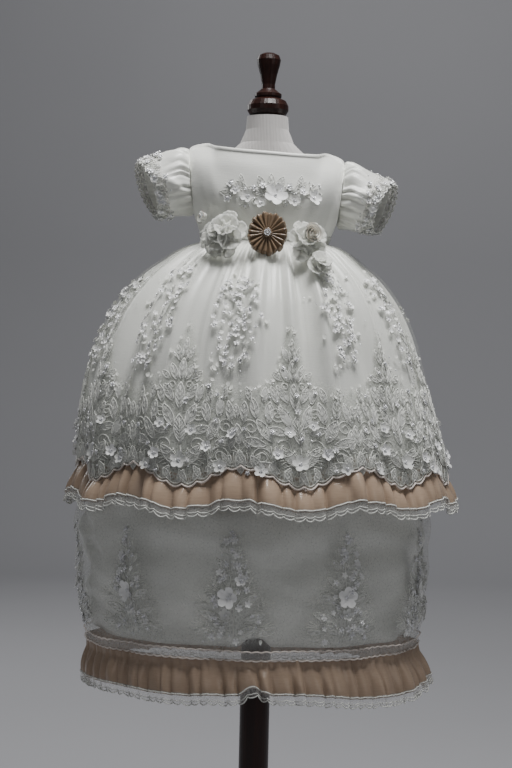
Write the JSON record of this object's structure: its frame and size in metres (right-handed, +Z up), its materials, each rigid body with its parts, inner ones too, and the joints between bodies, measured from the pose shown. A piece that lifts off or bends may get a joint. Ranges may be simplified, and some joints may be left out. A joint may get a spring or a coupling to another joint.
{
  "type": "christening gown on a dress form stand",
  "caption": "Long christening gown with puff sleeves, lace overlay skirt, gathered satin ruffles and fabric flowers at the waist, on a child's dress form with a pole and round wooden base.",
  "frame": {"origin": "centre of the base's underside, on the floor", "axes": "+Z up along the pole, -Y out of the gown's front, +X to the right as seen from the front"},
  "size_m": [0.5326, 0.4642, 1.1122],
  "materials": {
    "satin": "ivory satin",
    "organza": "sheer ivory organza",
    "lace": "ivory lace on tulle",
    "champagne": "champagne satin",
    "gold": "pleated gold satin",
    "gem": "faceted clear stone",
    "jersey": "matte grey jersey",
    "wood": "dark polished mahogany"
  },
  "bodies": {
    "root": {"bodice_front": "satin", "bodice_back_left": "satin", "bodice_back_right": "satin", "back_button_1": "satin", "back_button_2": "satin", "back_button_3": "satin", "back_button_4": "satin", "waist_belt": "satin", "sleeve_left": "satin", "sleeve_right": "satin", "sleeve_lace_left": "lace", "sleeve_lace_right": "lace", "lace_overlay": "lace", "upper_skirt_satin": "satin", "skirt_lining": "satin", "lower_tier": "organza", "heading_lace": "lace", "upper_ruffle": "champagne", "upper_ruffle_lace": "lace", "lower_ruffle": "champagne", "lower_ruffle_lace": "lace", "rosette": "gold", "rosette_gem": "gem", "flower_left": "organza", "flower_right": "organza", "flower_low": "organza", "bud_left": "organza", "rose_right": "organza", "dress_form": "jersey", "neck_cap": "wood", "finial": "wood", "stand_pole": "wood", "stand_base": "wood"}
  },
  "joints": []
}
